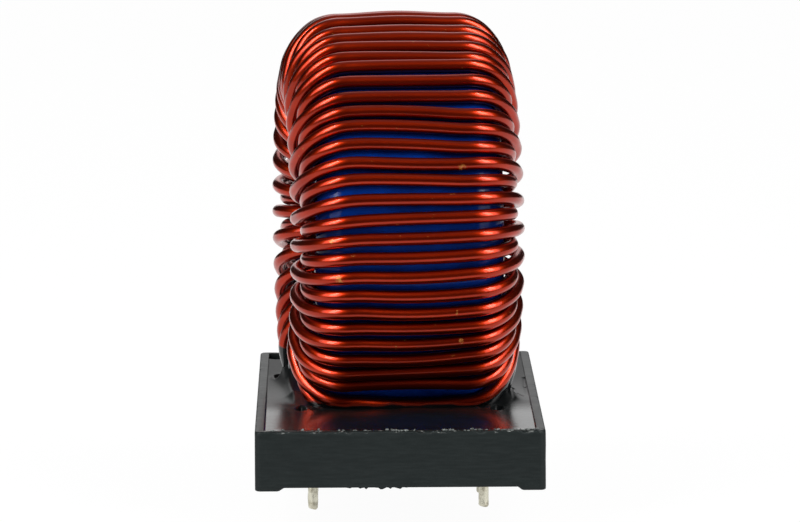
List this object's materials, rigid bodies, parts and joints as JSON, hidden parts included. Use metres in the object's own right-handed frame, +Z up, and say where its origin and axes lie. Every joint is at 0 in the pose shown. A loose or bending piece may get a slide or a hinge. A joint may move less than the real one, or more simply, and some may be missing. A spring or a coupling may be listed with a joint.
{
  "type": "inductor",
  "caption": "Toroidal choke: a coated ring core wound with paired enamelled wire stands on its rim in a resin-filled plastic tray with solder pins.",
  "frame": {"origin": "centre of the four pins, on the plane that the tray's feet stand on", "axes": "+X along the core's axis to the right, +Y along the tray away from the viewer, +Z up; the pins point along -Z"},
  "size_m": [0.028, 0.057, 0.0491],
  "materials": {
    "tray_plastic": "dark moulded plastic, faintly streaked",
    "resin": "glossy black casting resin",
    "core_coating": "glossy blue coating on a pressed ring",
    "enamelled_wire": "copper wire under clear red enamel",
    "tinned_pin": "dull tinned wire",
    "solder": "dull solder"
  },
  "bodies": {
    "root": {"tray": "tray_plastic", "potting": "resin", "core": "core_coating", "strand_a": "enamelled_wire", "strand_b": "enamelled_wire", "pin_front_left": "tinned_pin", "pin_front_right": "tinned_pin", "pin_rear_left": "tinned_pin", "pin_rear_right": "tinned_pin", "solder_front_left": "solder", "solder_front_right": "solder", "solder_rear_left": "solder", "solder_rear_right": "solder"}
  },
  "joints": []
}
